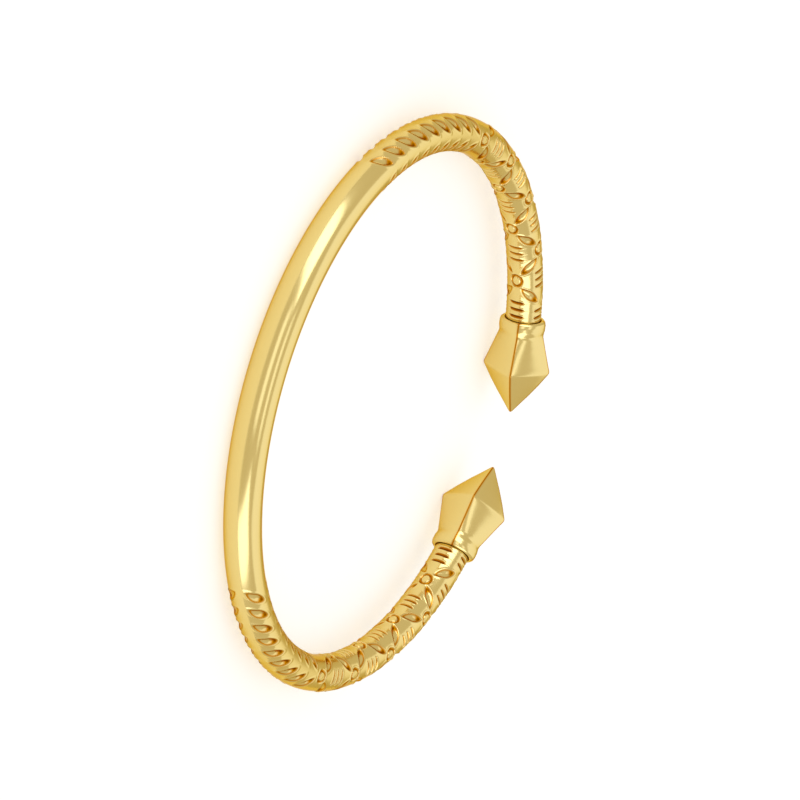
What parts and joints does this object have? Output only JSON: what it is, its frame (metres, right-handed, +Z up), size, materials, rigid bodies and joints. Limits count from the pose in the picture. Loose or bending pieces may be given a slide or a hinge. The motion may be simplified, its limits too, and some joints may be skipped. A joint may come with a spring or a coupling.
{
  "type": "engraved cuff bracelet",
  "caption": "Open round-bar cuff with a plain polished back, engraved arms and a square spearhead capped over each end.",
  "frame": {"origin": "on the surface that the cuff lies on, under the middle of its box", "axes": "+Z up, the gap between the spearheads faces +Y and the closed back -Y, +X to the right seen from the back"},
  "size_m": [0.064, 0.0642, 0.0074],
  "materials": {
    "gold_plated_brass": "polished gold plating"
  },
  "bodies": {
    "root": {"bar": "gold_plated_brass", "left_spearhead": "gold_plated_brass", "right_spearhead": "gold_plated_brass"}
  },
  "joints": []
}
